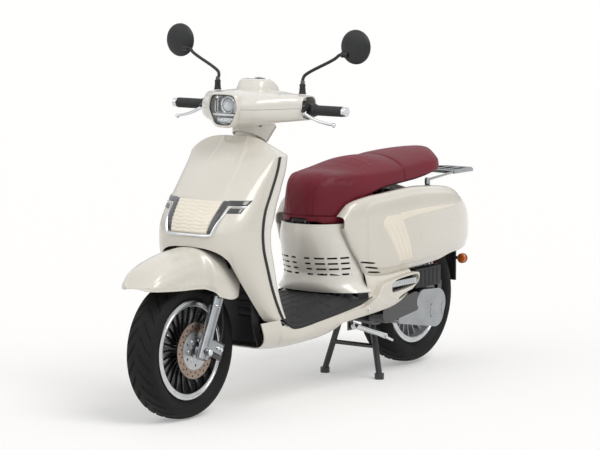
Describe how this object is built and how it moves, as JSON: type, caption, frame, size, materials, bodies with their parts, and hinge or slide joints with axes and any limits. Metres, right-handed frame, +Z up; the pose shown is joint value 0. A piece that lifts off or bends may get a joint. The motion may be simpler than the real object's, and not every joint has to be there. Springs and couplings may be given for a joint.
{
  "type": "moped scooter",
  "caption": "Step-through moped scooter with leg shield, padded two-person seat, side cowls, disc-braked front fork, swinging engine unit, luggage rack and stands.",
  "frame": {"origin": "on the ground under the middle of the machine's box, with the centre stand down", "axes": "+Z up, the front wheel points to -Y, the rider's left is +X"},
  "size_m": [0.85, 1.908, 1.2636],
  "materials": {
    "body_paint": "gloss",
    "white_paint": "gloss",
    "cream_paint": "satin",
    "chrome": "polished",
    "smoked_lens": "gloss",
    "black_rubber": "matte",
    "mat_rubber": "matte",
    "black_plastic": "matte",
    "black_steel": "satin",
    "silver_alloy": "satin",
    "grey_alloy": "cast",
    "black_alloy": "satin",
    "red_lens": "gloss",
    "amber_lens": "gloss",
    "headlight_glass": "clear",
    "dial_black": "gloss",
    "red_plastic": "satin",
    "grey_plastic": "satin",
    "tyre_rubber": "matte",
    "disc_steel": "brushed",
    "red_spring": "gloss",
    "seat_vinyl": "grained"
  },
  "bodies": {
    "chassis": {"main_frame": "black_steel", "front_shield": "body_paint", "inner_shield": "body_paint", "shield_trim": "black_rubber", "grille_panel": "cream_paint", "grille_surround": "chrome", "front_signals": "smoked_lens", "floor_pan": "body_paint", "floor_mat": "mat_rubber", "splash_guard": "black_plastic", "seat_box": "body_paint", "cowl_left": "body_paint", "cowl_right": "body_paint", "helmet_bucket": "black_plastic", "rear_rack": "silver_alloy", "tail_lamp": "red_lens", "rear_mudguard": "black_plastic", "rear_signals": "amber_lens", "body_screws": "silver_alloy"},
    "steering": {"steering_yoke": "black_steel", "fork_tubes": "chrome", "front_fender": "body_paint", "handlebar": "chrome", "headset_upper": "white_paint", "headset_lower": "white_paint", "headlight": "headlight_glass", "instrument_dial": "dial_black", "left_grip": "black_rubber", "lever_perches": "black_plastic", "mirror_stems": "black_steel"},
    "throttle": {"throttle_grip": "black_rubber"},
    "lever_left": {"brake_lever_left": "chrome"},
    "lever_right": {"brake_lever_right": "chrome"},
    "horn": {"horn_button": "red_plastic"},
    "starter": {"start_button": "grey_plastic"},
    "mirror_left": {"mirror_head_left": "black_plastic"},
    "mirror_right": {"mirror_head_right": "black_plastic"},
    "fork_slider": {"fork_lowers": "silver_alloy", "front_axle": "silver_alloy", "brake_caliper": "grey_alloy", "brake_hose": "black_rubber"},
    "front_wheel": {"front_tyre": "tyre_rubber", "front_rim": "black_alloy", "brake_disc": "disc_steel"},
    "engine": {"crankcase": "black_alloy", "cylinder_head": "grey_alloy", "transmission_cover": "silver_alloy", "air_filter_box": "black_plastic", "exhaust": "black_steel"},
    "rear_wheel": {"rear_tyre": "tyre_rubber", "rear_rim": "silver_alloy"},
    "shock_upper": {"shock_body": "black_steel"},
    "shock_lower": {"shock_rod": "chrome", "shock_spring": "red_spring"},
    "stand": {"center_stand": "black_steel"},
    "prop": {"side_stand": "chrome"},
    "seat": {"seat_pan": "black_plastic", "seat_cushion": "seat_vinyl"},
    "peg_left": {"footpeg_left": "silver_alloy"},
    "peg_right": {"footpeg_right": "silver_alloy"}
  },
  "joints": [
    {"name": "steering", "type": "hinge", "parent": "chassis", "child": "steering", "pos_m": [0, -0.68728, 0.21471], "axis": [0, 0.4226, 0.9063], "range_deg": [-25, 25]},
    {"name": "fork_slide", "type": "slide", "parent": "steering", "child": "fork_slider", "axis": [0, 0.4226, 0.9063], "range_m": [0, 0.05], "stiffness_N_per_m": 9000, "springref_m": -0.06, "deforming": ["brake_hose"]},
    {"name": "front_spin", "type": "hinge", "parent": "fork_slider", "child": "front_wheel", "pos_m": [0, -0.719, 0.2295], "axis": [1, 0, 0], "continuous": true},
    {"name": "engine_swing", "type": "hinge", "parent": "chassis", "child": "engine", "pos_m": [0, 0.156, 0.275], "axis": [1, 0, 0], "range_deg": [0, 6], "stiffness_Nm_per_rad": 6000, "springref_deg": -2.86},
    {"name": "rear_spin", "type": "hinge", "parent": "engine", "child": "rear_wheel", "pos_m": [0, 0.601, 0.244], "axis": [1, 0, 0], "continuous": true},
    {"name": "shock_tilt", "type": "hinge", "parent": "chassis", "child": "shock_upper", "pos_m": [0.09, 0.591, 0.59], "axis": [1, 0, 0], "range_deg": [-0.2, 1.4]},
    {"name": "shock_slide", "type": "slide", "parent": "shock_upper", "child": "shock_lower", "axis": [0, -0.1863, 0.9825], "range_m": [-0.001, 0.0525], "deforming": ["shock_spring"]},
    {"name": "seat_hinge", "type": "hinge", "parent": "chassis", "child": "seat", "pos_m": [0, -0.055, 0.588], "axis": [1, 0, 0], "range_deg": [0, 75]},
    {"name": "throttle_turn", "type": "hinge", "parent": "steering", "child": "throttle", "pos_m": [-0.288, -0.28939, 0.99463], "axis": [-1, 0, 0], "range_deg": [0, 75], "stiffness_Nm_per_rad": 0.3, "springref_deg": -17.19},
    {"name": "lever_left_pull", "type": "hinge", "parent": "steering", "child": "lever_left", "pos_m": [0.214, -0.32339, 0.98663], "axis": [0, -0.5, 0.866], "range_deg": [0, 12], "stiffness_Nm_per_rad": 3, "springref_deg": -11.46},
    {"name": "lever_right_pull", "type": "hinge", "parent": "steering", "child": "lever_right", "pos_m": [-0.214, -0.32339, 0.98663], "axis": [0, 0.5, -0.866], "range_deg": [0, 12], "stiffness_Nm_per_rad": 3, "springref_deg": -11.46},
    {"name": "horn_press", "type": "slide", "parent": "steering", "child": "horn", "axis": [0, -1, 0], "range_m": [0, 0.003], "stiffness_N_per_m": 400, "springref_m": -0.002},
    {"name": "start_press", "type": "slide", "parent": "steering", "child": "starter", "axis": [0, -1, 0], "range_m": [0, 0.003], "stiffness_N_per_m": 400, "springref_m": -0.002},
    {"name": "mirror_left_tilt", "type": "hinge", "parent": "steering", "child": "mirror_left", "pos_m": [0.33, -0.26339, 1.18063], "axis": [1, 0, 0], "range_deg": [-12, 12]},
    {"name": "mirror_right_tilt", "type": "hinge", "parent": "steering", "child": "mirror_right", "pos_m": [-0.33, -0.26339, 1.18063], "axis": [1, 0, 0], "range_deg": [-12, 12]},
    {"name": "center_stand_fold", "type": "hinge", "parent": "chassis", "child": "stand", "pos_m": [0, 0.286, 0.212], "axis": [1, 0, 0], "range_deg": [0, 55]},
    {"name": "side_stand_swing", "type": "hinge", "parent": "chassis", "child": "prop", "pos_m": [0.132, 0.076, 0.214], "axis": [-0.9397, 0, -0.342], "range_deg": [0, 90]},
    {"name": "peg_left_fold", "type": "hinge", "parent": "chassis", "child": "peg_left", "pos_m": [0.204, 0.211, 0.352], "axis": [0, 0, -1], "range_deg": [0, 85]},
    {"name": "peg_right_fold", "type": "hinge", "parent": "chassis", "child": "peg_right", "pos_m": [-0.204, 0.211, 0.352], "axis": [0, 0, 1], "range_deg": [0, 85]}
  ],
  "couplings": [
    {"joint": "shock_tilt", "follows": "engine_swing", "ratio": 0.1687},
    {"joint": "shock_slide", "follows": "engine_swing", "m_per_rad": 0.4884}
  ]
}
